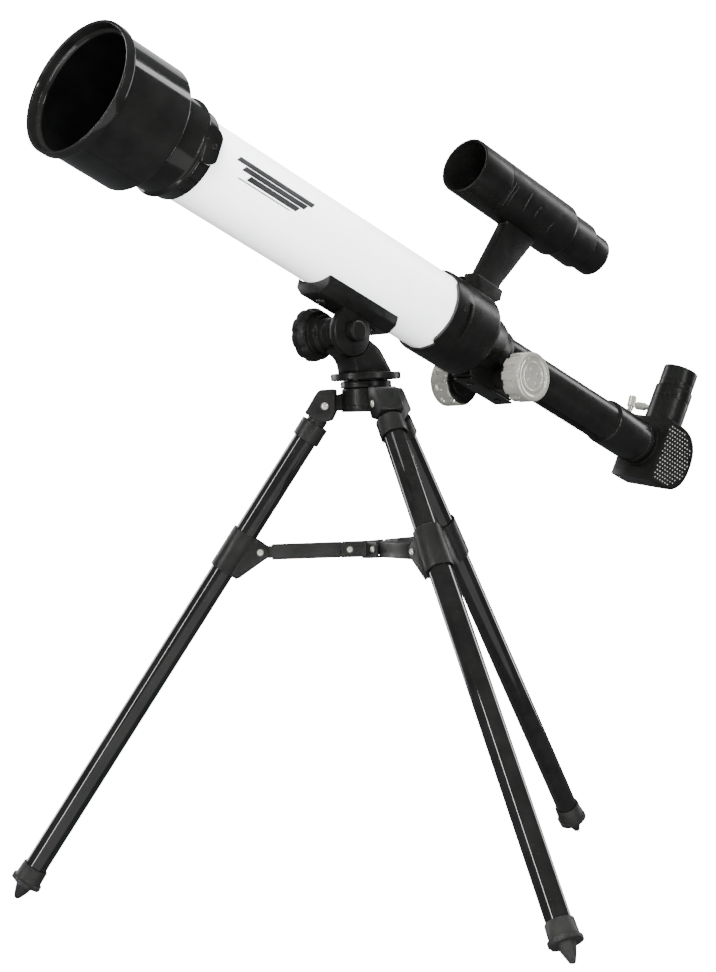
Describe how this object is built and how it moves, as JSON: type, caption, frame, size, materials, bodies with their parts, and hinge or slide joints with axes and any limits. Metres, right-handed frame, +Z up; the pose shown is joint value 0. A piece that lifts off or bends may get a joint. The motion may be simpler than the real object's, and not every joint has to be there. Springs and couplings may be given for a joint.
{
  "type": "telescope on tripod",
  "caption": "Small white refracting telescope with dew hood, finder, focuser, diagonal and eyepiece on a pan and tilt head over a folding black table tripod.",
  "frame": {"origin": "on the table, at the middle of the whole object's box seen from above", "axes": "+Z up; the telescope looks up and to the -X, -Y side, its direction seen from above is 225.85 degrees from +X towards +Y"},
  "size_m": [0.5227, 0.5016, 0.5729],
  "materials": {
    "brace_steel": "thin dark coating on pressed steel",
    "nickel": "bright nickel plate",
    "gloss_black": "gloss black moulded plastic",
    "satin_black": "satin black enamel on cast or turned metal",
    "mirror": "aluminised glass",
    "lens_glass": "polished coated glass",
    "charcoal": "dark grey moulded plastic with a fine texture",
    "rubber": "matt black rubber",
    "leg_black": "polished black anodising",
    "tube_white": "gloss white enamel"
  },
  "bodies": {
    "tripod_hub": {"hub_body": "satin_black", "hub_ring": "gloss_black", "pan_bolt": "nickel"},
    "leg_a": {"leg_a_clevis": "charcoal", "leg_a_tube": "leg_black", "leg_a_sleeve": "charcoal", "leg_a_foot": "rubber", "leg_a_pivot_rivet": "nickel", "leg_a_brace_rivet": "nickel"},
    "leg_b": {"leg_b_clevis": "charcoal", "leg_b_tube": "leg_black", "leg_b_sleeve": "charcoal", "leg_b_foot": "rubber", "leg_b_pivot_rivet": "nickel", "leg_b_brace_rivet": "nickel"},
    "leg_c": {"leg_c_clevis": "charcoal", "leg_c_tube": "leg_black", "leg_c_sleeve": "charcoal", "leg_c_foot": "rubber", "leg_c_pivot_rivet": "nickel", "leg_c_brace_rivet": "nickel"},
    "brace_arm_a": {"brace_arm_a": "brace_steel"},
    "brace_arm_b": {"brace_arm_b": "brace_steel"},
    "brace_arm_c": {"brace_arm_c": "brace_steel"},
    "brace_hub": {"brace_hub": "brace_steel"},
    "pan_head": {"pan_post": "satin_black"},
    "telescope": {"saddle": "satin_black", "saddle_screw_front": "nickel", "saddle_screw_rear": "nickel", "tilt_bolt": "nickel", "tilt_cap": "satin_black", "main_tube": "tube_white", "lens_cell": "gloss_black", "cell_screw": "nickel", "objective_lens": "lens_glass", "lens_ring": "satin_black", "dew_hood": "gloss_black", "focuser_housing": "satin_black", "pinion_cover": "satin_black", "cover_screw_front": "nickel", "cover_screw_rear": "nickel"},
    "tilt_clamp": {"tilt_knob": "satin_black"},
    "focus_drive": {"pinion_shaft": "nickel", "focus_knob_near": "nickel", "focus_knob_far": "nickel"},
    "draw": {"draw_tube": "gloss_black", "focus_rack": "satin_black"},
    "holder_thumb": {"holder_thumbscrew": "nickel"},
    "diagonal": {"diagonal_box": "satin_black", "diagonal_nose": "nickel", "diagonal_mirror": "mirror"},
    "eyepiece_thumb": {"eyepiece_thumbscrew": "nickel"},
    "eyepiece": {"eyepiece": "gloss_black", "eye_lens": "lens_glass"},
    "finder": {"finder_bracket": "satin_black", "finder_tube": "satin_black", "finder_objective": "lens_glass"},
    "finder_eye": {"finder_eyepiece": "gloss_black", "finder_eye_lens": "lens_glass"}
  },
  "joints": [
    {"name": "leg_a_fold", "type": "hinge", "parent": "tripod_hub", "child": "leg_a", "pos_m": [-0.02867, -0.00836, 0.3345], "axis": [-0.0976, -0.9952, 0], "range_deg": [0, 24]},
    {"name": "leg_b_fold", "type": "hinge", "parent": "tripod_hub", "child": "leg_b", "pos_m": [0.01091, -0.03669, 0.3345], "axis": [0.9107, 0.4131, 0], "range_deg": [0, 24]},
    {"name": "leg_c_fold", "type": "hinge", "parent": "tripod_hub", "child": "leg_c", "pos_m": [0.01566, 0.01175, 0.3345], "axis": [-0.8131, 0.5821, 0], "range_deg": [0, 24]},
    {"name": "brace_arm_a_hinge", "type": "hinge", "parent": "leg_a", "child": "brace_arm_a", "pos_m": [-0.07713, -0.00361, 0.236], "axis": [-0.0976, -0.9952, 0], "range_deg": [0, 50]},
    {"name": "brace_arm_b_hinge", "type": "hinge", "parent": "leg_b", "child": "brace_arm_b", "pos_m": [0.03103, -0.08104, 0.236], "axis": [0.9107, 0.4131, 0], "range_deg": [0, 50]},
    {"name": "brace_arm_c_hinge", "type": "hinge", "parent": "leg_c", "child": "brace_arm_c", "pos_m": [0.04401, 0.05135, 0.236], "axis": [-0.8131, 0.5821, 0], "range_deg": [0, 50]},
    {"name": "brace_hub_slide", "type": "slide", "parent": "tripod_hub", "child": "brace_hub", "axis": [0, 0, 1], "range_m": [0, 0.0482]},
    {"name": "pan_turn", "type": "hinge", "parent": "tripod_hub", "child": "pan_head", "pos_m": [-0.0007, -0.0111, 0.3512], "axis": [0, 0, 1], "continuous": true},
    {"name": "tilt", "type": "hinge", "parent": "pan_head", "child": "telescope", "pos_m": [-0.01484, -0.02567, 0.384], "axis": [-0.7175, 0.6965, 0], "range_deg": [-38, 20]},
    {"name": "tilt_knob_turn", "type": "hinge", "parent": "telescope", "child": "tilt_clamp", "pos_m": [-0.03637, -0.00477, 0.384], "axis": [-0.7175, 0.6965, 0], "range_deg": [0, 180]},
    {"name": "draw_slide", "type": "slide", "parent": "telescope", "child": "draw", "axis": [-0.6413, -0.6606, 0.3902], "range_m": [-0.012, 0.11]},
    {"name": "focus_turn", "type": "hinge", "parent": "telescope", "child": "focus_drive", "pos_m": [0.08874, 0.08104, 0.351], "axis": [0.7175, -0.6965, 0], "range_deg": [-180, 1600]},
    {"name": "holder_thumb_turn", "type": "hinge", "parent": "draw", "child": "holder_thumb", "pos_m": [0.20352, 0.19927, 0.32591], "axis": [0.2718, 0.28, 0.9207], "range_deg": [0, 180]},
    {"name": "diagonal_turn", "type": "hinge", "parent": "draw", "child": "diagonal", "pos_m": [0.21648, 0.21263, 0.29629], "axis": [-0.6413, -0.6606, 0.3902], "range_deg": [-90, 90]},
    {"name": "eyepiece_thumb_turn", "type": "hinge", "parent": "diagonal", "child": "eyepiece_thumb", "pos_m": [0.22264, 0.23924, 0.3284], "axis": [-0.6662, 0.7318, 0.144], "range_deg": [0, 180]},
    {"name": "eyepiece_slide", "type": "slide", "parent": "diagonal", "child": "eyepiece", "axis": [0.3807, 0.1676, 0.9094], "range_m": [0, 0.022]},
    {"name": "finder_slide", "type": "slide", "parent": "telescope", "child": "finder", "axis": [-0.6413, -0.6606, 0.3902], "range_m": [0, 0.028]},
    {"name": "finder_eye_turn", "type": "hinge", "parent": "finder", "child": "finder_eye", "pos_m": [0.17046, 0.16522, 0.4479], "axis": [-0.6413, -0.6606, 0.3902], "range_deg": [-180, 180]}
  ],
  "couplings": [
    {"joint": "leg_b_fold", "follows": "leg_a_fold", "ratio": 1},
    {"joint": "leg_c_fold", "follows": "leg_a_fold", "ratio": 1},
    {"joint": "brace_arm_a_hinge", "follows": "leg_a_fold", "ratio": 2.0607},
    {"joint": "brace_arm_b_hinge", "follows": "leg_a_fold", "ratio": 2.0607},
    {"joint": "brace_arm_c_hinge", "follows": "leg_a_fold", "ratio": 2.0607},
    {"joint": "brace_hub_slide", "follows": "leg_a_fold", "m_per_rad": 0.11471},
    {"joint": "focus_turn", "follows": "draw_slide", "rad_per_m": 250}
  ]
}
